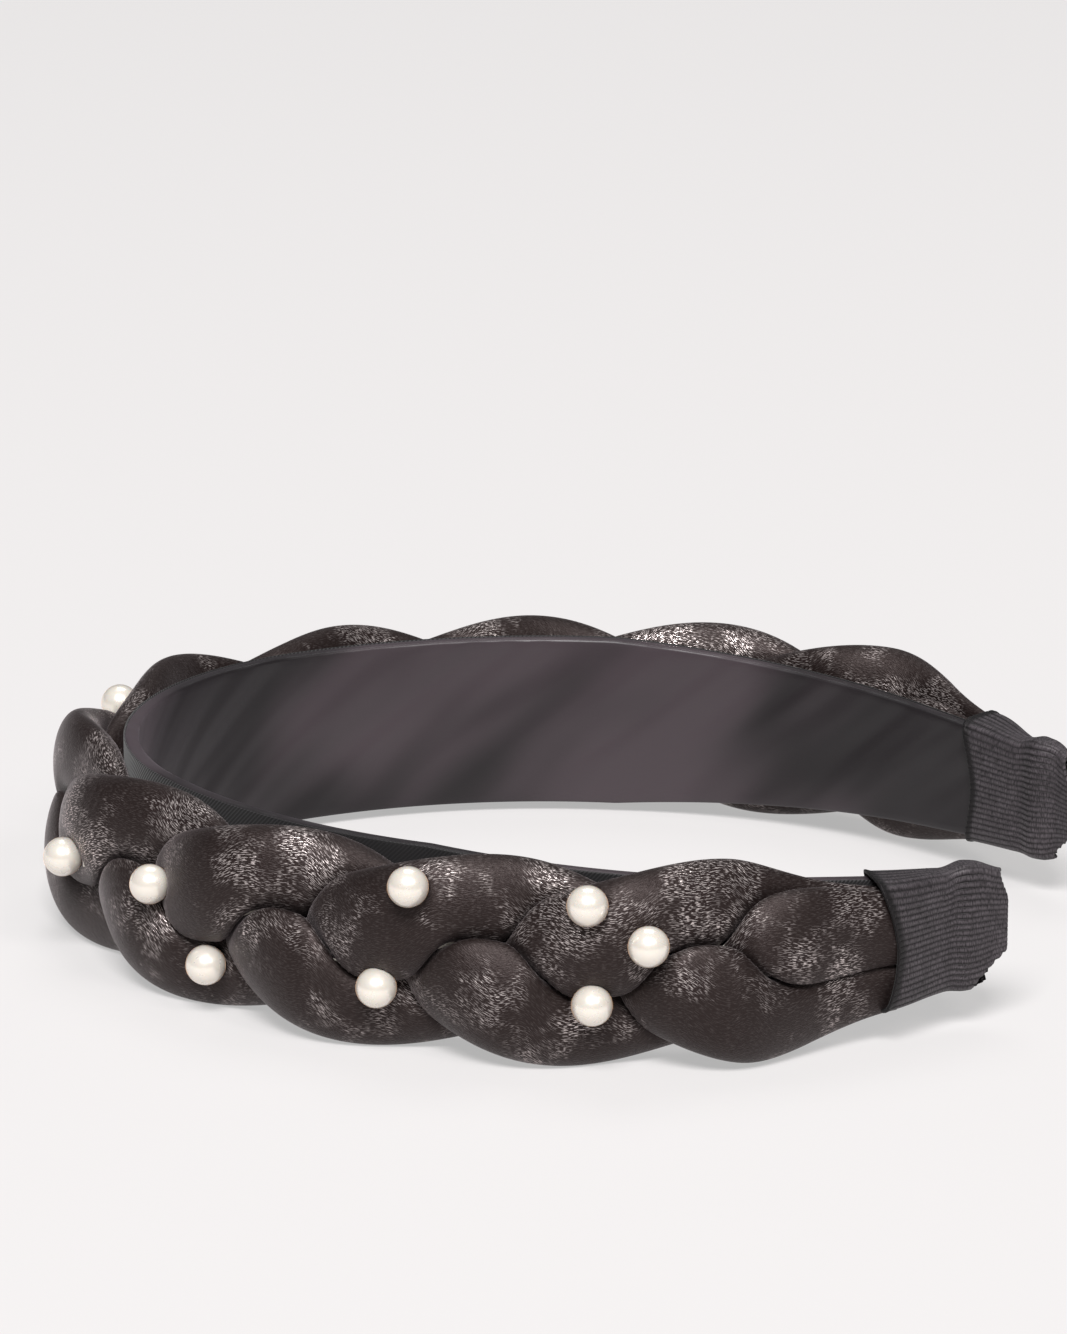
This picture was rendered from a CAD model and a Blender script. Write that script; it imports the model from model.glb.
"""A padded, braided headband: satin, velvet, grosgrain and pearls on the fixed frame of its parts."""

import math

import bpy
import numpy as np
from bpy.props import FloatProperty, FloatVectorProperty, IntProperty, PointerProperty
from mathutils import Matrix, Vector


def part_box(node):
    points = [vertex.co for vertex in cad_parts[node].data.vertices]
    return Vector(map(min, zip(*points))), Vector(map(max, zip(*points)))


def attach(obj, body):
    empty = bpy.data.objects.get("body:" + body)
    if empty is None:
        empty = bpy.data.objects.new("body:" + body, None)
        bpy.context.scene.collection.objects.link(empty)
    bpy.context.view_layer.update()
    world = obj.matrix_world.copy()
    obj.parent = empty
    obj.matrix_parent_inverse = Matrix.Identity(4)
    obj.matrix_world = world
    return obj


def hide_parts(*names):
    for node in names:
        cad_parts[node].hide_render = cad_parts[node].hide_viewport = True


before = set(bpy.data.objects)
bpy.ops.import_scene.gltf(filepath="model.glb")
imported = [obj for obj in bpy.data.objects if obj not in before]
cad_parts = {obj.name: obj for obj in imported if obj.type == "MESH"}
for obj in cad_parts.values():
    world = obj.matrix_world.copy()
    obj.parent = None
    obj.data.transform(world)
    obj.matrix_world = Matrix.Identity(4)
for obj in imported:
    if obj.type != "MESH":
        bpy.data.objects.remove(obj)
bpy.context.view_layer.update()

bl_info = {
    "name": "Braided headband",
    "version": (1, 0, 0),
    "blender": (4, 5, 0),
    "location": "View3D > Sidebar > Headband",
    "description": "Makes the cloth, pearls and studio of a padded, braided headband",
    "category": "Add Mesh",
}

MM = 0.001
TO_MM = 1000
STRANDS = (1, 2, 3)
PEARLS = sorted(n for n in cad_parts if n.startswith("pearl_") and n[-1].isdigit())


# ---- sizes and colours ----
def length(name, description, default):
    return FloatProperty(name=name, description=description, default=default * MM, unit="LENGTH")


def angle(name, description, degrees):
    return FloatProperty(name=name, description=description, default=math.radians(degrees), subtype="ANGLE")


def colour(name, description, default):
    return FloatVectorProperty(name=name, description=description, default=default, size=3, subtype="COLOR")


class BandSettings(bpy.types.PropertyGroup):
    """The curve and the width of the sprung core"""

    crown_radius: length("Crown radius", "Radius of the core at the crown", 45.3)
    crown_angle: angle("Crown angle", "Half angle of the crown's arc", 47.4)
    side_radius: length("Side radius", "Radius of the core along each side", 85)
    side_angle: angle("Side angle", "Angle of each side's arc", 71.8)
    tip_radius: length("Tip radius", "Radius of the nearly straight stretch at each tip", 600)
    half_length: length("Half length", "Length of the core from the crown to a tip", 171)
    thickness: length("Core thickness", "Thickness of the core", 1.6)
    crown_width: length("Width at the crown", "Width of the core at the crown", 27)
    tip_width: length("Width at the tips", "Width of the core at the tips", 15.2)
    taper_from: length("Taper start", "Distance from the crown at which the core narrows", 62)
    cloth: length("Cloth thickness", "Thickness of the cloth over the core", 0.4)


class BraidSettings(bpy.types.PropertyGroup):
    """The plaited, padded strands"""

    pitch: length("Pitch", "Length of one full turn of a strand", 86.4)
    phase: length("Phase", "Place on the near leg where the first strand crosses the middle", 78)
    swing_height: length("Swing in height", "How far a strand's middle swings up and down", 6.4)
    swing_out: length("Swing outwards", "How far a strand's middle swings out and in", 2.8)
    half_width: length("Half width", "Half the width of a strand", 9.1)
    half_thickness: length("Half thickness", "Half the thickness of a strand", 4.3)
    gap: length("Gap", "Half the gap between two strands", 0.09)
    settle_from: length("Settling start", "Place where the strands start to run straight", 136)
    settle_over: length("Settling length", "Length over which the crossing dies away", 14)
    narrow_from: length("Narrowing start", "Place where the braid starts to narrow", 131)
    late_narrowing: length("Late narrowing", "How much later the width narrows than the thickness", 3)
    strand_end: length("Strand end", "Place where the strands end, under the ribbons", 159)
    end_width: FloatProperty(
        name="End width", description="Share of the width kept at the ends", default=0.66)
    end_thickness: FloatProperty(
        name="End thickness", description="Share of the thickness kept at the ends", default=0.42)
    squash: FloatProperty(name="Squash", description="How flat strands press against each other", default=6)
    rings: IntProperty(name="Rings", description="Number of rings along a strand", default=400)
    sides: IntProperty(name="Sides", description="Number of points round a strand", default=72)
    dimple: length("Dimple", "Reach of the dimple that a pearl presses into the velvet", 3.4)
    velvet: colour("Velvet", "Colour of the velvet", (0.0088, 0.0053, 0.0048))


class TrimSettings(bpy.types.PropertyGroup):
    """The ribbons, the flat cloth and the pearls"""

    ribbon_from: length("Ribbon start", "Place where a tip ribbon starts", 156)
    ribbon_to: length("Ribbon end", "Place where a tip ribbon ends", 177)
    ribbon_height: length("Ribbon height", "Height of a tip ribbon where it starts", 19.6)
    ribbon_cloth: length("Ribbon thickness", "Thickness of the grosgrain", 0.45)
    ribbon_taper: FloatProperty(
        name="Ribbon taper", description="Loss of half height per length, as the core narrows", default=0.08)
    rib_pitch: length("Rib pitch", "Distance between two ribs of the grosgrain", 0.9)
    rib_height: length("Rib height", "Height of a rib", 0.26)
    grosgrain: colour("Grosgrain", "Colour of the ribbon", (0.0065, 0.0056, 0.0062))
    satin: colour("Satin", "Colour of the lining", (0.021, 0.0158, 0.0182))
    backing: colour("Backing", "Colour of the covered outside of the band", (0.0065, 0.0055, 0.0062))
    nacre: colour("Nacre", "Colour of the pearls", (0.80, 0.745, 0.67))


class StageSettings(bpy.types.PropertyGroup):
    """The camera, the lights and the floor"""

    azimuth: angle("Azimuth", "Direction of the camera round the headband", 15.07)
    elevation: angle("Elevation", "Height of the camera above the floor's plane", 16.56)
    distance: length("Distance", "Distance from the camera to its target", 992.9)
    target_x: length("Target X", "Target's distance from the crown", 40.43)
    target_y: length("Target Y", "Target's distance from the band's middle plane", 82.98)
    target_z: length("Target Z", "Target's height over the band's middle", -0.5)
    lens: FloatProperty(name="Lens", description="Focal length", default=158.8, subtype="DISTANCE_CAMERA")
    floor: colour("Floor", "Colour of the floor", (0.33, 0.315, 0.315))


def settings(group):
    return getattr(bpy.context.scene, "headband_" + group)


# ---- the band's curve ----
LOCATE_STEPS = 6001  # places tried along the band when a point is located on it


def smooth(x):
    x = np.clip(x, 0, 1)
    return x * x * (3 - 2 * x)


class Band:
    """The core's centreline: a place on it is w along the arc, h up from the middle and n outwards."""

    def __init__(self):
        size = settings("band")
        low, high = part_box("band_core")
        self.size = size
        self.start = np.array([low.x + size.thickness / 2, (low.y + high.y) / 2, (low.z + high.z) / 2])
        self.arc_1 = size.crown_radius * size.crown_angle
        self.arc_2 = self.arc_1 + size.side_radius * size.side_angle
        self.turn_2 = size.crown_angle + size.side_angle

    def heading(self, s):
        size = self.size
        return np.where(
            s < self.arc_1, s / size.crown_radius,
            np.where(
                s < self.arc_2, size.crown_angle + (s - self.arc_1) / size.side_radius,
                self.turn_2 + (s - self.arc_2) / size.tip_radius))

    def arc_points(self, s):
        """The far leg's points from the crown, in plan"""
        size = self.size
        points = np.zeros((*np.shape(s), 2))
        turned = 0.0
        spans = ((size.crown_radius, 0.0, size.crown_angle),
                 (size.side_radius, size.crown_angle, self.turn_2),
                 (size.tip_radius, self.turn_2, self.turn_2 + 1))
        t = self.heading(s)
        for radius, first, last in spans:
            part = np.clip(t, first, last)
            points[..., 0] += radius * (np.cos(first) - np.cos(part))
            points[..., 1] += radius * (np.sin(part) - np.sin(first))
        return points

    def place(self, w, h, n):
        """Points in the frame, in metres"""
        w, h, n = np.broadcast_arrays(w, h, n)
        s, side = np.abs(w), np.where(w < 0, -1.0, 1.0)
        t = self.heading(s)
        plan = self.arc_points(s)
        x = plan[..., 0] - n * np.cos(t)
        y = side * (plan[..., 1] + n * np.sin(t))
        return self.start + np.stack([x, y, h], axis=-1)

    def outward(self, w):
        t = self.heading(np.abs(w))
        return np.stack([-np.cos(t), np.where(w < 0, -1.0, 1.0) * np.sin(t), np.zeros_like(t)], axis=-1)

    def locate(self, point):
        """(w, h, n) of a point of the frame"""
        w = np.linspace(-self.size.half_length, self.size.half_length, LOCATE_STEPS)
        line = self.place(w, 0 * w, 0 * w)
        k = np.hypot(line[:, 0] - point[0], line[:, 1] - point[1]).argmin()
        n = float((np.array(point) - line[k]) @ self.outward(w[k]))
        return float(w[k]), float(point[2] - self.start[2]), n

    def half_height(self, w):
        """Half the core's height at w"""
        size = self.size
        x = self.arc_points(np.abs(w))[..., 0]
        tip_x = self.arc_points(np.array(size.half_length))[0]
        share = np.clip((x - size.taper_from) / (tip_x - size.taper_from), 0, 1)
        return (size.crown_width + (size.tip_width - size.crown_width) * share) / 2


# ---- the braid's shape ----
class Braid:
    """Three strands that swing up and down, out and in, and press flat where they meet."""

    CLEARANCE = 0.3 * MM  # between the covered core and the braid's flat underside
    SWING_SHARE = 0.85  # of the outward swing, kept between the underside and the braid's middle
    THICKNESS_SHARE = 0.66  # of a strand's half thickness, kept there too

    def __init__(self, band):
        self.band = band
        self.size = settings("braid")
        size = self.size
        self.floor = band.size.thickness / 2 + band.size.cloth + self.CLEARANCE
        self.middle = (self.floor + size.swing_out * self.SWING_SHARE
                       + size.half_thickness * self.THICKNESS_SHARE)

    def scales(self, w):
        size = self.size
        x = (np.abs(w) - size.narrow_from) / (size.strand_end - size.narrow_from)
        late = size.late_narrowing / (size.strand_end - size.narrow_from)
        return 1 - (1 - size.end_width) * smooth(x - late), 1 - (1 - size.end_thickness) * smooth(x)

    def turn(self, i, w):
        """A strand's angle in its swing; the swing dies away towards the tips"""
        size = self.size
        s = np.abs(w)
        x = np.clip((s - size.settle_from) / size.settle_over, 0, 1)
        held = np.minimum(s, size.settle_from) + size.settle_over * (x - x * x / 2)
        run = 2 * math.pi * (np.where(w < 0, -held, held) + size.phase) / size.pitch
        return run + math.pi / 2 + 2 * math.pi * (i - 1) / len(STRANDS)

    def mid(self, i, w):
        """The middle of a strand, in units of its own half width and half thickness"""
        size, t = self.size, self.turn(i, w)
        return np.stack([size.swing_height / size.half_width * np.cos(t),
                         size.swing_out / size.half_thickness * np.sin(2 * t)], axis=-1)

    def radius(self, i, w, e):
        """A strand's radius in direction e, and how hard it is pressed there"""
        size = self.size
        c, thick = self.mid(i, w), self.scales(w)[1]
        gap = size.gap / size.half_thickness / thick
        low = (self.middle - self.floor) / size.half_thickness + c[..., 1]
        total = 1 + (np.clip(-e[..., 1], 0, None) / low) ** size.squash
        for j in STRANDS:
            if j != i:
                d = self.mid(j, w) - c
                far = np.linalg.norm(d, axis=-1)
                u = d / far[..., None]
                total = total + (np.clip((e * u).sum(-1), 0, None) / (far / 2 - gap)) ** size.squash
        return total ** (-1 / size.squash)

    def points(self, i, w, f):
        """(h, n) of the points of strand i at the places w and the angles f"""
        size = self.size
        e = np.stack([np.cos(f), np.sin(f)], axis=-1)
        wide, thick = self.scales(w)
        r = self.radius(i, w, e)
        c = self.mid(i, w)
        half_width, half_thickness = size.half_width * wide, size.half_thickness * thick
        h = half_width * c[..., 0] + half_width * r * e[..., 0]
        n = (self.floor + (self.middle - self.floor) * thick + half_thickness * c[..., 1]
             + half_thickness * r * e[..., 1])
        return h, n

    def top(self, w, h):
        """How far out the braid's surface is at w and h"""
        size = self.size
        wide, thick = self.scales(w)
        best = np.full(np.shape(w), -1.0)
        for i in STRANDS:
            c = self.mid(i, w)
            x = h / size.half_width / wide - c[..., 0]
            y = np.where(np.abs(x) < 1, np.sqrt(np.clip(1 - x * x, 0, 1)), -9)
            best = np.maximum(best, c[..., 1] + y)
        return self.floor + ((self.middle - self.floor) + size.half_thickness * best) * thick


# ---- meshes ----
def done(result, step):
    """Stops the script where a step of modelling didn't finish"""
    if "FINISHED" not in result:
        raise RuntimeError(f"{step} didn't finish")


def grid_object(name, points, uv, wrap):
    """A mesh of quads over a grid of points, closed round its second direction where wrap is set"""
    rows, columns = points.shape[:2]
    index = np.arange(rows * columns).reshape(rows, columns)
    across = index if not wrap else np.concatenate([index, index[:, :1]], axis=1)
    quads = np.stack([across[:-1, :-1], across[:-1, 1:], across[1:, 1:], across[1:, :-1]], -1)
    faces = quads.reshape(-1, 4).tolist()
    if wrap:
        faces += [index[0][::-1].tolist(), index[-1].tolist()]
    mesh = bpy.data.meshes.new(name)
    mesh.from_pydata(points.reshape(-1, 3).tolist(), [], faces)
    layer = mesh.uv_layers.new(name="weave")
    if wrap:
        last = uv[:, :1] + (uv[:, -1:] - uv[:, :1]) * columns / (columns - 1)
        uv = np.concatenate([uv, last], axis=1)
    corner = np.stack([uv[:-1, :-1], uv[:-1, 1:], uv[1:, 1:], uv[1:, :-1]], 2).reshape(-1, 2)
    rest = len(mesh.loops) - len(corner)
    corner = np.concatenate([corner, np.zeros((rest, 2))])
    layer.data.foreach_set("uv", corner.astype(np.float32).ravel())
    for polygon in mesh.polygons:
        polygon.use_smooth = len(polygon.vertices) == 4
    piece = bpy.data.objects.new(name, mesh)
    bpy.context.scene.collection.objects.link(piece)
    return piece


def activate(piece):
    bpy.ops.object.select_all(action="DESELECT")
    piece.select_set(True)
    bpy.context.view_layer.objects.active = piece


def outside_out(piece):
    activate(piece)
    bpy.ops.object.mode_set(mode="EDIT")
    bpy.ops.mesh.select_all(action="SELECT")
    done(bpy.ops.mesh.normals_make_consistent(inside=False), "turning the faces out")
    bpy.ops.object.mode_set(mode="OBJECT")


def open_ends(piece):
    """Takes off the two end caps, the only faces with more than four corners"""
    activate(piece)
    bpy.ops.object.mode_set(mode="EDIT")
    bpy.ops.mesh.select_mode(type="FACE")
    bpy.ops.mesh.select_all(action="DESELECT")
    bpy.ops.object.mode_set(mode="OBJECT")
    for polygon in piece.data.polygons:
        polygon.select = len(polygon.vertices) > 4
    bpy.ops.object.mode_set(mode="EDIT")
    done(bpy.ops.mesh.delete(type="ONLY_FACE"), "opening the ends")
    bpy.ops.object.mode_set(mode="OBJECT")


def thicken(piece, thickness, offset):
    """Gives a sheet its thickness; offset -1 grows it against the faces' direction"""
    activate(piece)
    wall = piece.modifiers.new("cloth", "SOLIDIFY")
    wall.thickness, wall.offset, wall.use_even_offset = thickness, offset, False
    done(bpy.ops.object.modifier_apply(modifier=wall.name), "thickening the cloth")


def finish_piece(piece, material, nodes):
    """Gives a piece its material, and puts it in the place of its nodes on the one body"""
    missing = [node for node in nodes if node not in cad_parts]
    if missing:
        raise RuntimeError(f"{piece.name} stands for nodes that the frame hasn't got: {missing}")
    piece.data.materials.clear()
    piece.data.materials.append(material)
    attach(piece, "root")
    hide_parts(*nodes)


def arc_lengths(points, axis):
    """Running length along one direction of a grid of points, from 0"""
    steps = np.linalg.norm(np.diff(points, axis=axis), axis=-1)
    pad = [(0, 0), (0, 0)]
    pad[axis] = (1, 0)
    return np.pad(np.cumsum(steps, axis=axis), pad)


def sheet_area(points):
    """Area of a grid of points"""
    down, along = points[1:, :-1] - points[:-1, :-1], points[:-1, 1:] - points[:-1, :-1]
    return float(np.linalg.norm(np.cross(down, along), axis=-1).sum())


# ---- materials ----
class Value:
    """A socket that adds a Math node when it is used in an expression"""

    def __init__(self, maker, socket):
        self.maker, self.socket = maker, socket

    def math(self, operation, *others):
        return self.maker.node("ShaderNodeMath", {"operation": operation}, [self, *others])

    def __add__(self, other):
        return self.math("ADD", other)

    __radd__ = __add__

    def __mul__(self, other):
        return self.math("MULTIPLY", other)

    __rmul__ = __mul__

    def __sub__(self, other):
        return self.math("SUBTRACT", other)

    def __rsub__(self, other):
        return (self * -1) + other

    def __truediv__(self, other):
        return self.math("DIVIDE", other)

    def __pow__(self, other):
        return self.math("POWER", other)


class Maker:
    """Makes the nodes of one material"""

    def __init__(self, name):
        self.material = bpy.data.materials.new(name)
        self.material.use_nodes = True
        self.tree = self.material.node_tree
        self.tree.nodes.clear()

    def node(self, kind, options=None, inputs=(), output=0):
        """A node of a type, with its settings and a ramp's stops, then its sockets' values or links"""
        made = self.tree.nodes.new(kind)
        options = dict(options or {})
        stops = options.pop("stops", ())
        for key, value in options.items():
            setattr(made, key, value)
        if stops:
            made.color_ramp.interpolation = "EASE"
            for element, (place, level) in zip(made.color_ramp.elements, stops):
                element.position, element.color = place, (level, level, level, 1)
        pairs = inputs.items() if isinstance(inputs, dict) else enumerate(inputs)
        for key, value in pairs:
            if isinstance(value, Value):
                self.tree.links.new(value.socket, made.inputs[key])
            else:
                made.inputs[key].default_value = value
        return Value(self, made.outputs[output]) if made.outputs else None

    def ramp(self, value, first, last):
        """A smooth ramp of greys between two stops of (place, level)"""
        return self.node("ShaderNodeValToRGB", {"stops": (first, last)}, [value])

    def noise(self, vector, scale, detail=2.0, roughness=0.5):
        return self.node("ShaderNodeTexNoise", {"noise_dimensions": "3D"},
                         {"Vector": vector, "Scale": scale, "Detail": detail, "Roughness": roughness})

    def mix(self, factor, first, second):
        return self.node("ShaderNodeMix", {"data_type": "RGBA"}, {0: factor, 6: first, 7: second}, output=2)

    def weave(self):
        """The piece's own UV in millimetres: (along, across)"""
        uv = self.node("ShaderNodeUVMap", {"uv_map": "weave"})
        along, across = (self.node("ShaderNodeSeparateXYZ", {}, [uv], output=k) for k in (0, 1))
        return along * TO_MM, across * TO_MM

    def object_place(self):
        return self.node("ShaderNodeTexCoord", output="Object")

    def vector(self, x, y, z=0.0):
        return self.node("ShaderNodeCombineXYZ", {}, [x, y, z])

    def bump(self, height, distance, strength=1.0, normal=None):
        inputs = {"Strength": strength, "Distance": distance, "Height": height}
        if normal is not None:
            inputs["Normal"] = normal
        return self.node("ShaderNodeBump", {}, inputs)

    def surface(self, **sockets):
        """The finished material; socket names have underscores for spaces"""
        named = {name.replace("_", " "): value for name, value in sockets.items()}
        shader = self.node("ShaderNodeBsdfPrincipled", {}, named)
        self.node("ShaderNodeOutputMaterial", {}, {"Surface": shader})
        return self.material


def rgba(values, factor=1.0):
    return (*(v * factor for v in values[:3]), 1.0)


FLOAT_LONG, FLOAT_WIDE = 0.8, 0.14  # the velvet's shiny floats, in millimetres
THREAD_LONG, THREAD_WIDE = 0.4, 0.10  # its ground threads, in millimetres
FLOAT_COLOUR = (0.66, 0.585, 0.57, 1)


def velvet_material():
    """Dark crushed satin: a matt ground with short, shiny floats that run along the strand"""
    m = Maker("braid_velvet")
    along, across = m.weave()
    slanted = across + 0.12 * along
    floats = m.noise(m.vector(along / FLOAT_LONG, slanted / FLOAT_WIDE), 1.0, 0.8, 0.5)
    fine = m.noise(m.vector(along / THREAD_LONG, across / THREAD_WIDE), 1.0, 1.0, 0.5)
    nap = m.noise(m.object_place(), 1500, 2.0, 0.6)
    cloud = m.noise(m.object_place(), 75, 4.0, 0.65)
    shine = m.ramp(cloud, (0.47, 0.0), (0.68, 1.0))
    thread = m.ramp(floats, (0.54, 0.0), (0.63, 1.0)) * (0.03 + 0.97 * shine)
    pile = m.bump(nap, 0.08 * MM, 0.5)
    normal = m.bump(floats * 0.6 + fine * 0.4, 0.11 * MM, 1.0, pile)
    velvet = settings("braid").velvet
    ground = m.mix(cloud, rgba(velvet, 0.7), rgba(velvet, 1.4))
    return m.surface(
        Base_Color=m.mix(thread, ground, FLOAT_COLOUR), Metallic=thread * 0.85,
        Roughness=0.47 - 0.15 * thread - 0.08 * shine, Normal=normal, Specular_IOR_Level=0.32,
        Specular_Tint=(1.0, 0.82, 0.80, 1), Sheen_Weight=0.22, Sheen_Roughness=0.35,
        Sheen_Tint=(0.78, 0.68, 0.70, 1))


PULL_MIDDLE, PULL_LENGTH = 231, 18  # where the lining's pull changes from slack to tight, in millimetres


def satin_material():
    """Smooth lining satin with large soft patches of shine"""
    m = Maker("lining_satin")
    along, across = m.weave()
    threads = m.noise(m.vector(along / 0.5, across / 0.14), 1.0, 2.0, 0.6)
    slanted = across + 0.8 * along
    drift = m.noise(m.vector((along - 1.3 * across) / 22, slanted / 90), 1.0, 2.0, 0.45)
    patch = m.noise(m.vector((along - 1.2 * across) / 34, slanted / 80, 3.0), 1.0, 2.0, 0.5)
    ground = m.bump(drift, 3.5 * MM, 1.0)
    normal = m.bump(threads, 0.02 * MM, 0.6, ground)
    satin = settings("trim").satin
    pull = ((along - PULL_MIDDLE) / PULL_LENGTH).math("SINE")
    lit = m.ramp(patch + 0.13 * pull, (0.40, 0.0), (0.66, 1.0))
    base = m.mix(lit, rgba(satin, 0.35), rgba(satin, 2.3))
    return m.surface(Base_Color=base, Roughness=0.46 - 0.08 * lit, Normal=normal, Specular_IOR_Level=0.4,
                     Sheen_Weight=0.10, Sheen_Roughness=0.5, Sheen_Tint=(0.8, 0.70, 0.78, 1))


def twill_material():
    """The covered outside of the band, a fine diagonal twill"""
    m = Maker("backing_twill")
    along, across = m.weave()
    wales = m.node("ShaderNodeTexWave", {"wave_type": "BANDS", "bands_direction": "X"},
                   {"Vector": m.vector((along + across) / 2.2, 0.0), "Scale": 1.0, "Distortion": 0.6})
    backing = settings("trim").backing
    base = m.mix(wales, rgba(backing, 0.7), rgba(backing, 1.4))
    return m.surface(Base_Color=base, Roughness=0.62 - 0.1 * wales, Normal=m.bump(wales, 0.08 * MM, 0.8),
                     Specular_IOR_Level=0.4, Sheen_Weight=0.2)


def grosgrain_material():
    """Ribbed ribbon: the ribs are modelled, and the material has their fine wrapping threads"""
    m = Maker("grosgrain")
    along, across = m.weave()
    warp = m.noise(m.vector(along / 0.16, across / 0.5), 1.0, 1.5, 0.6)
    wear = m.noise(m.object_place(), 260, 3.0, 0.6)
    grosgrain = settings("trim").grosgrain
    ribbed = m.node("ShaderNodeAttribute", {"attribute_name": "rib"}, output="Fac")
    stitch = m.ramp(warp, (0.35, 0.25), (0.62, 1.0))
    crest = ribbed ** 5.0 * stitch * (0.4 + 1.0 * wear)
    base = m.mix(crest, rgba(grosgrain, 0.25), rgba(grosgrain, 13))
    rough = 0.60 - 0.2 * ribbed + 0.1 * wear
    return m.surface(Base_Color=base, Roughness=rough, Normal=m.bump(warp, 0.09 * MM, 0.9),
                     Specular_IOR_Level=0.30, Specular_Tint=(1, 0.93, 0.95, 1), Sheen_Weight=0.04)


def pearl_material():
    """Ivory nacre with a faint cloudiness under a clear coat"""
    m = Maker("pearl")
    cloud = m.noise(m.object_place(), 420, 3.0, 0.5)
    rings = m.noise(m.object_place(), 1300, 2.0, 0.5)
    nacre = settings("trim").nacre
    base = m.mix(cloud, rgba(nacre, 0.97), rgba(nacre, 1.03))
    return m.surface(
        Base_Color=base, Metallic=0.25 + 0.1 * cloud, Roughness=0.24 + 0.08 * cloud,
        Normal=m.bump(rings, 0.02 * MM, 0.25), Specular_IOR_Level=0.5, Coat_Weight=0.8, Coat_Roughness=0.06,
        Coat_IOR=1.6, Subsurface_Weight=0.15, Subsurface_Radius=(1.6 * MM, 1.0 * MM, 0.6 * MM),
        Subsurface_Scale=1.0, Sheen_Weight=0.8, Sheen_Roughness=0.22, Sheen_Tint=(1.0, 0.52, 0.24, 1))


def foam_material():
    """Open foam of the strands' filling"""
    m = Maker("foam_filling")
    cells = m.node("ShaderNodeTexVoronoi", {}, {"Vector": m.object_place(), "Scale": 1800.0})
    base = m.mix(cells, (0.80, 0.77, 0.70, 1), (0.62, 0.58, 0.50, 1))
    return m.surface(Base_Color=base, Roughness=0.9 - 0.1 * cells, Normal=m.bump(cells, 0.2 * MM, 0.6))


def core_material():
    """Moulded plastic of the sprung core"""
    m = Maker("core_plastic")
    grain = m.noise(m.object_place(), 1500, 2.0, 0.5)
    base = m.mix(grain, (0.80, 0.78, 0.73, 1), (0.86, 0.84, 0.79, 1))
    return m.surface(Base_Color=base, Roughness=0.42 + 0.1 * grain, Normal=m.bump(grain, 0.03 * MM, 0.4))


def glue_material():
    """Clear craft glue"""
    m = Maker("clear_glue")
    flow = m.noise(m.object_place(), 700, 2.0, 0.5)
    base = m.mix(flow, (0.74, 0.70, 0.60, 1), (0.82, 0.79, 0.70, 1))
    return m.surface(Base_Color=base, Roughness=0.15 + 0.15 * flow, Normal=m.bump(flow, 0.05 * MM, 0.3))


# ---- the pieces ----
class PearlPlace:
    """Where a pearl is: on the band, and in the frame"""

    def __init__(self, node, band):
        low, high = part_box(node)
        self.centre = np.array((low + high) / 2)
        self.radius = (high.z - low.z) / 2
        self.w, self.h, self.n = band.locate(self.centre)
        self.out = band.outward(np.array(self.w))


class HEADBAND_OT_braid(bpy.types.Operator):
    """Make the three padded velvet strands, dimpled where pearls are pressed in"""

    bl_idname = "headband.braid"
    bl_label = "Braid"

    OUTSIDE_FROM = 3 * MM  # height over the band at which the cloth starts to be drawn in
    DEEPEST = 2.4 * MM  # deepest dimple
    SEAT = 0.75  # share of its radius by which a pearl's seat is under its middle
    ROOM = 0.06 * MM  # left between a pearl and its cloth

    def strand(self, i, band, braid, pearls, material):
        size = braid.size
        end = size.strand_end
        w = np.linspace(-end, end, size.rings)[:, None]
        f = np.linspace(0, 2 * math.pi, size.sides, endpoint=False)[None, :]
        w, f = np.broadcast_arrays(w, f)
        h, n = braid.points(i, w, f)
        n = self.dimpled(w, h, n, braid, pearls)
        points = self.clear_of_pearls(band.place(w, h, n), pearls)
        along = arc_lengths(points, 0).mean(axis=1, keepdims=True) * np.ones_like(w)
        around = arc_lengths(points, 1)
        around = around - around[:, -1:] / 2
        piece = grid_object(f"strand_{i}_velvet", points, np.stack([along, around], -1), True)
        outside_out(piece)
        finish_piece(piece, material, [f"strand_{i}_cover"])

    def dimpled(self, w, h, n, braid, pearls):
        """The places again, drawn in round each pearl as a button draws in a cushion"""
        reach = braid.size.dimple
        outside = smooth((n - braid.floor - self.OUTSIDE_FROM) / self.OUTSIDE_FROM)
        for pearl in pearls:
            seat = pearl.n - self.SEAT * pearl.radius
            top = braid.top(np.array(pearl.w), np.array(pearl.h))
            depth = float(np.clip(top - seat, 0, self.DEEPEST))
            near = np.exp(-((w - pearl.w) ** 2 + (h - pearl.h) ** 2) / reach ** 2)
            n = n - depth * near * outside
        return n

    def clear_of_pearls(self, points, pearls):
        """Moves the cloth that a pearl rests on out of the pearl"""
        points = points.copy()
        for pearl in pearls:
            arm = points - pearl.centre
            far = np.linalg.norm(arm, axis=-1)
            out = arm @ pearl.out
            radius = pearl.radius + self.ROOM
            inside = (far < radius) & (out < 0.1 * radius)
            points[inside] = pearl.centre + arm[inside] / far[inside][:, None] * radius
        return points

    def execute(self, context):
        band = Band()
        braid = Braid(band)
        if not PEARLS:
            raise RuntimeError("the frame has no pearls to press into the braid")
        pearls = [PearlPlace(node, band) for node in PEARLS]
        material = velvet_material()
        for i in STRANDS:
            self.strand(i, band, braid, pearls, material)
        return {"FINISHED"}


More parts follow.
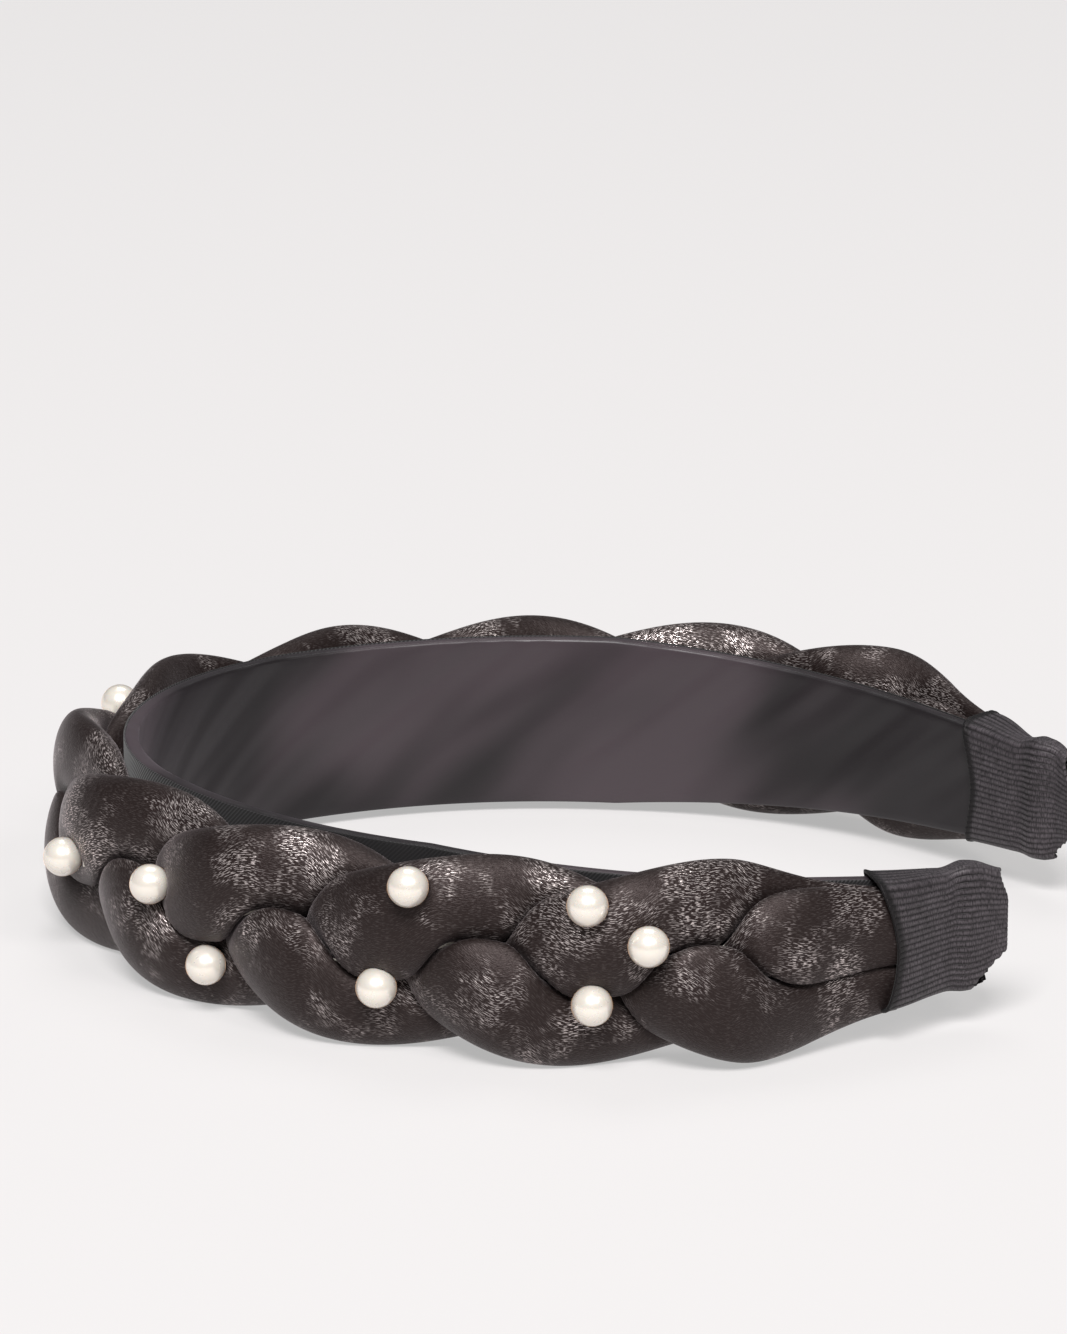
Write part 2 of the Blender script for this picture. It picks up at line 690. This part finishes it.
class HEADBAND_OT_band_cloth(bpy.types.Operator):
    """Make the satin lining, turned over the band's edges, and the twill over its outside"""

    bl_idname = "headband.band_cloth"
    bl_label = "Lining and backing"

    ROWS = 420  # points along a sheet
    FACE_STEPS, TURN_STEPS, FOLD_STEPS = 25, 9, 4  # points across the face, a turned edge and a fold
    WALL = 0.12 * MM  # thickness of the cloth
    TURN = 0.5 * MM  # how far the cloth bulges where it turns over an edge
    PROUD = 0.4 * MM  # how far it stands over the core's edge

    def execute(self, context):
        band = Band()
        self.lining(band)
        self.backing(band)
        return {"FINISHED"}

    def wrap(self, band, name, inner, outer, fold, ripple):
        """A sheet over one face, turned over both edges, from inner to outer off the core's middle"""
        end = band.size.half_length
        w = np.linspace(-end, end, self.ROWS)[:, None]
        tall = band.half_height(w) + self.PROUD
        turns = np.linspace(0, 1, self.TURN_STEPS)[1:-1]
        back = np.linspace(fold, 0, self.FOLD_STEPS)
        mean, half = (inner + outer) / 2, (outer - inner) / 2
        bulge = [self.TURN * math.sin(math.pi * t) ** 0.5 for t in turns]
        profile = [(-1, d, outer) for d in back]
        profile += [(-1, -b, mean + half * math.cos(math.pi * t)) for t, b in zip(turns, bulge)]
        profile += [(x, 0, inner) for x in np.linspace(-1, 1, self.FACE_STEPS)]
        profile += [(1, b, mean - half * math.cos(math.pi * t)) for t, b in zip(turns, bulge)]
        profile += [(1, -d, outer) for d in back[::-1]]
        share, shift, n = (np.array(column)[None, :] for column in zip(*profile))
        h = share * (tall - self.TURN) + shift
        on_face = np.clip(1 - np.abs(share), 0, 1) ** 0.5
        waves = np.sin(w * 95 + h * 160) * 0.5 + np.sin(w * 41 - h * 90 + 1.3) * 0.5
        points = band.place(w, h, n * np.ones_like(w) + ripple * on_face * waves)
        uv = np.stack([w - w[0] + 0 * h, arc_lengths(points, 1)], -1)
        return grid_object(name, points, uv, False), points

    def flat_size(self, band, points):
        """The sheet's length, and the width that gives it its area"""
        long = 2 * band.size.half_length
        return long, sheet_area(points) / long

    def lining(self, band):
        t = band.size.thickness / 2
        piece, points = self.wrap(
            band, "lining_satin", -t - 0.3 * MM, t + 0.1 * MM, fold=3.5 * MM, ripple=0.12 * MM)
        thicken(piece, self.WALL, 0)
        finish_piece(piece, satin_material(), ["inner_lining"])
        flat = self.flat_size(band, points)

    def backing(self, band):
        t = band.size.thickness / 2
        piece, points = self.wrap(
            band, "backing_twill", t + 0.35 * MM, t + 0.2 * MM, fold=0.4 * MM, ripple=0.0)
        thicken(piece, self.WALL, 0)
        finish_piece(piece, twill_material(), ["outer_backing"])
        flat = self.flat_size(band, points)


class HEADBAND_OT_tip_ribbons(bpy.types.Operator):
    """Make the two grosgrain ribbons, wrapped round the tips, with a turned hem and a cut, pinched end"""

    bl_idname = "headband.tip_ribbons"
    bl_label = "Tip ribbons"

    ROWS, PER_RIB = 120, 8  # rings along a ribbon, and points across one rib
    SQUARENESS = 6.0  # power of the section's rounded rectangle
    USUAL_HALF_DEPTH, SIDES = 3.5 * MM, 4 * MM  # of the section, for its number of ribs and even steps
    HEM_BOW, HEM_CORNER, HEM_SET_BACK, HEM_PROUD = 1.6 * MM, 1.2 * MM, 0.4 * MM, 0.22 * MM
    CORNER_CUT, TOP_CUT, INNER_CUT, INNER_LONGER = 5.6 * MM, 1.4 * MM, 3.4 * MM, 0.6 * MM
    FLARE_FROM, CLOSE_FROM, CRUSH_AT, WAIST_AT = 166.5 * MM, 172 * MM, 169.5 * MM, 168.2 * MM
    PINCH, WAIST = 0.45 * MM, 0.35 * MM

    def evened(self, power, tall, deep, count):
        """Angles that step evenly round a section of the ribbon"""
        f = np.linspace(0, 2 * math.pi, 8001)
        r = (np.abs(np.cos(f)) ** power + np.abs(np.sin(f)) ** power) ** (-1 / power)
        steps = np.hypot(np.diff(tall * r * np.cos(f)), np.diff(deep * r * np.sin(f)))
        run = np.concatenate([[0], np.cumsum(steps)])
        return np.interp(np.linspace(0, run[-1], count, endpoint=False), run, f)

    def ring(self, trim):
        """Directions round the ribbon's section, up and out, and each point's place counted in ribs"""
        ribs = int(round(2 * (trim.ribbon_height + self.SIDES) / trim.rib_pitch))
        count, power = ribs * self.PER_RIB, self.SQUARENESS
        f = self.evened(power, trim.ribbon_height / 2, self.USUAL_HALF_DEPTH, count)[None, :]
        c, s = np.cos(f), np.sin(f)
        r = (np.abs(c) ** power + np.abs(s) ** power) ** (-1 / power)
        return c * r, s * r, np.arange(count)[None, :] / self.PER_RIB

    def run(self, trim, up, out):
        """Where each thread starts, at the bowed hem, and its places up to the cut, ragged end"""
        hem_curve = self.HEM_BOW * (1 - up * up) - self.HEM_CORNER * np.clip(up, 0, 1)
        corner = smooth((-up - 0.45) / 0.55)
        outer_cut = (self.CORNER_CUT * corner * smooth(0.5 + out)
                     + self.TOP_CUT * smooth((up - 0.5) / 0.5))
        inner_cut = self.INNER_CUT * corner ** 2 * smooth(0.5 - out)
        start = trim.ribbon_from + self.HEM_SET_BACK + hem_curve
        end = trim.ribbon_to + self.INNER_LONGER * smooth(0.5 - out) - outer_cut - inner_cut
        return start, start + (end - start) * np.linspace(0, 1, self.ROWS)[:, None]

    def height(self, trim, w, up):
        """Half the ribbon's height, which tapers, flares past the braid and closes at the end"""
        tall = trim.ribbon_height / 2 - 0.25 * MM - trim.ribbon_taper * (w - trim.ribbon_from)
        tall = tall + smooth((w - self.FLARE_FROM) / (4 * MM)) * (0.55 + 0.65 * np.clip(up, 0, 1)) * MM
        return tall - smooth((w - self.CLOSE_FROM) / (5 * MM)) * 1.2 * MM

    def surface(self, band, trim, side):
        """The ribbon's points, their places along the band and how high on a rib each one is"""
        up, out, place = self.ring(trim)
        start, w = self.run(trim, up, out)
        core_end = band.size.half_length
        thin = smooth((w - trim.ribbon_from) / (13 * MM))
        shut = smooth((w - core_end + 1 * MM) / (5 * MM))
        low = -2.0 * MM + 1.3 * MM * shut
        high = 6.9 * MM - 4.7 * MM * thin - 1.3 * MM * shut
        hem = np.exp(-((w - start) / (0.6 * MM)) ** 2)
        press = smooth((w - start) / (1.6 * MM))
        crush = 1 - 0.5 * np.exp(-((w - self.CRUSH_AT) / (1.8 * MM)) ** 2)
        rib = np.abs(np.cos(math.pi * place)) ** 0.7 + 0 * w
        bulge = trim.rib_height * (rib - 0.6) * (0.25 + 0.75 * press) * crush + self.HEM_PROUD * hem
        pinch = self.PINCH * np.sin((w - core_end) / (1.5 * MM)) * shut * (0.6 + 0.4 * up)
        waist = -self.WAIST * np.exp(-((w - self.WAIST_AT) / (1.3 * MM)) ** 2)
        n = (low + high) / 2 + out * ((high - low) / 2 + waist) + np.clip(2 * out, -1, 1) * bulge + pinch
        h = up * self.height(trim, w, up) + np.clip(up, -1, 1) * np.abs(up) ** 5 * bulge
        return band.place(side * w, h, n), w, rib * (0.35 + 0.65 * press)

    def ribbon(self, band, name, side, node, material):
        trim = settings("trim")
        points, w, level = self.surface(band, trim, side)
        uv = np.stack([w - trim.ribbon_from, arc_lengths(points, 1)], -1)
        piece = grid_object(name, points, uv, True)
        ribs = piece.data.attributes.new("rib", "FLOAT", "POINT")
        ribs.data.foreach_set("value", level.astype(np.float32).ravel())
        open_ends(piece)
        thicken(piece, trim.ribbon_cloth, -1 if side > 0 else 1)
        outside_out(piece)
        finish_piece(piece, material, [node])
        area = sheet_area(points)

    def execute(self, context):
        band = Band()
        material = grosgrain_material()
        self.ribbon(band, "near_ribbon", -1, "near_tip_ribbon", material)
        self.ribbon(band, "far_ribbon", 1, "far_tip_ribbon", material)
        return {"FINISHED"}


class HEADBAND_OT_finishes(bpy.types.Operator):
    """Give the pearls, the glue, the foam and the core their finishes"""

    bl_idname = "headband.finishes"
    bl_label = "Pearls and inner pieces"

    def execute(self, context):
        finishes = {
            "pearl": (pearl_material(), PEARLS),
            "glue": (glue_material(), ["pearl_glue", "braid_glue"]),
            "foam": (foam_material(), [f"strand_{i}_filling" for i in STRANDS]),
            "core": (core_material(), ["band_core"]),
        }
        for material, nodes in finishes.values():
            for node in nodes:
                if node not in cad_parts:
                    raise RuntimeError(f"the frame has no node {node} to finish")
                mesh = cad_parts[node].data
                mesh.materials.clear()
                mesh.materials.append(material)
        return {"FINISHED"}


LIGHTS = (  # name, azimuth and elevation in degrees, size in metres, power in watts, colour
    ("softbox_front", 8, 50, (2.2, 1.6), 340, (1, 1, 1)),
    ("softbox_side", 52, 44, (1.0, 1.6), 50, (1, 0.98, 0.96)),
    ("softbox_top", 190, 65, (3.0, 2.4), 50, (1, 1, 1)),
)
LIGHT_DISTANCE = 5.0
WORLD_STRENGTH = 0.10
FLOOR_GLOW = 0.44


class HEADBAND_OT_stage(bpy.types.Operator):
    """Make the pale floor, the soft lights and the camera"""

    bl_idname = "headband.stage"
    bl_label = "Stage"

    def floor(self):
        bpy.ops.object.select_all(action="DESELECT")
        bpy.ops.mesh.primitive_plane_add(size=12, location=(0, 2, 0))
        floor = bpy.context.object
        floor.name = "floor"
        m = Maker("floor_paper")
        grain = m.noise(m.object_place(), 900, 3.0, 0.6)
        tint = settings("stage").floor
        base = m.mix(grain, rgba(tint, 0.995), rgba(tint, 1.005))
        floor.data.materials.append(m.surface(
            Base_Color=base, Roughness=0.9, Normal=m.bump(grain, 0.02 * MM, 0.2), Specular_IOR_Level=0.1,
            Emission_Color=(1, 0.995, 0.99, 1), Emission_Strength=FLOOR_GLOW))

    def light(self, name, azimuth, elevation, size, power, warmth, target):
        data = bpy.data.lights.new(name, "AREA")
        data.shape, data.energy, data.color = "RECTANGLE", power, warmth
        data.size, data.size_y = size
        lamp = bpy.data.objects.new(name, data)
        self.aim(lamp, math.radians(azimuth), math.radians(elevation), LIGHT_DISTANCE, target)

    def aim(self, thing, azimuth, elevation, distance, target):
        """Puts a light or the camera at its distance in a direction, looking at the target"""
        back = np.array([math.sin(azimuth) * math.cos(elevation),
                         -math.cos(azimuth) * math.cos(elevation), math.sin(elevation)])
        bpy.context.scene.collection.objects.link(thing)
        thing.location = (target + distance * back).tolist()
        thing.rotation_euler = Vector(back.tolist()).to_track_quat("Z", "Y").to_euler()

    def camera(self, scene, stage, start):
        camera = bpy.data.objects.new("camera", bpy.data.cameras.new("camera"))
        target = start + np.array([stage.target_x, stage.target_y, stage.target_z])
        self.aim(camera, stage.azimuth, stage.elevation, stage.distance, target)
        camera.data.lens, camera.data.sensor_width = stage.lens, 36
        camera.data.clip_start, camera.data.clip_end = 0.05, 60
        scene.camera = camera

    def world(self, scene):
        world = bpy.data.worlds.new("studio")
        scene.world = world
        world.use_nodes = True
        background = world.node_tree.nodes["Background"]
        background.inputs["Color"].default_value = (0.97, 0.97, 1.0, 1)
        background.inputs["Strength"].default_value = WORLD_STRENGTH

    def execute(self, context):
        start, scene = Band().start, context.scene
        self.camera(scene, settings("stage"), start)
        self.floor()
        middle = np.array([start[0] + 60 * MM, start[1], 20 * MM])
        for light in LIGHTS:
            self.light(*light, middle)
        self.world(scene)
        scene.view_settings.view_transform = "Standard"
        if scene.camera is None:
            raise RuntimeError("the stage has no camera")
        return {"FINISHED"}


class HEADBAND_PT_panel(bpy.types.Panel):
    """The headband's sizes, colours and pieces"""

    bl_label = "Headband"
    bl_idname = "HEADBAND_PT_panel"
    bl_space_type = "VIEW_3D"
    bl_region_type = "UI"
    bl_category = "Headband"

    def draw(self, context):
        for step in STEPS:
            self.layout.operator(step.bl_idname)
        for group in GROUPS:
            box = self.layout.box()
            for name in GROUPS[group].__annotations__:
                box.prop(settings(group), name)


GROUPS = {"band": BandSettings, "braid": BraidSettings, "trim": TrimSettings, "stage": StageSettings}
STEPS = (HEADBAND_OT_stage, HEADBAND_OT_band_cloth, HEADBAND_OT_braid, HEADBAND_OT_tip_ribbons,
         HEADBAND_OT_finishes)


def register():
    for cls in (*GROUPS.values(), *STEPS, HEADBAND_PT_panel):
        bpy.utils.register_class(cls)
    for name, group in GROUPS.items():
        setattr(bpy.types.Scene, "headband_" + name, PointerProperty(type=group))


def unregister():
    for name in GROUPS:
        delattr(bpy.types.Scene, "headband_" + name)
    for cls in reversed((*GROUPS.values(), *STEPS, HEADBAND_PT_panel)):
        bpy.utils.unregister_class(cls)


def main():
    register()
    done(bpy.ops.headband.stage(), "the stage")
    done(bpy.ops.headband.band_cloth(), "the lining and backing")
    done(bpy.ops.headband.braid(), "the braid")
    done(bpy.ops.headband.tip_ribbons(), "the tip ribbons")
    done(bpy.ops.headband.finishes(), "the finishes")


if __name__ == "__main__":
    main()
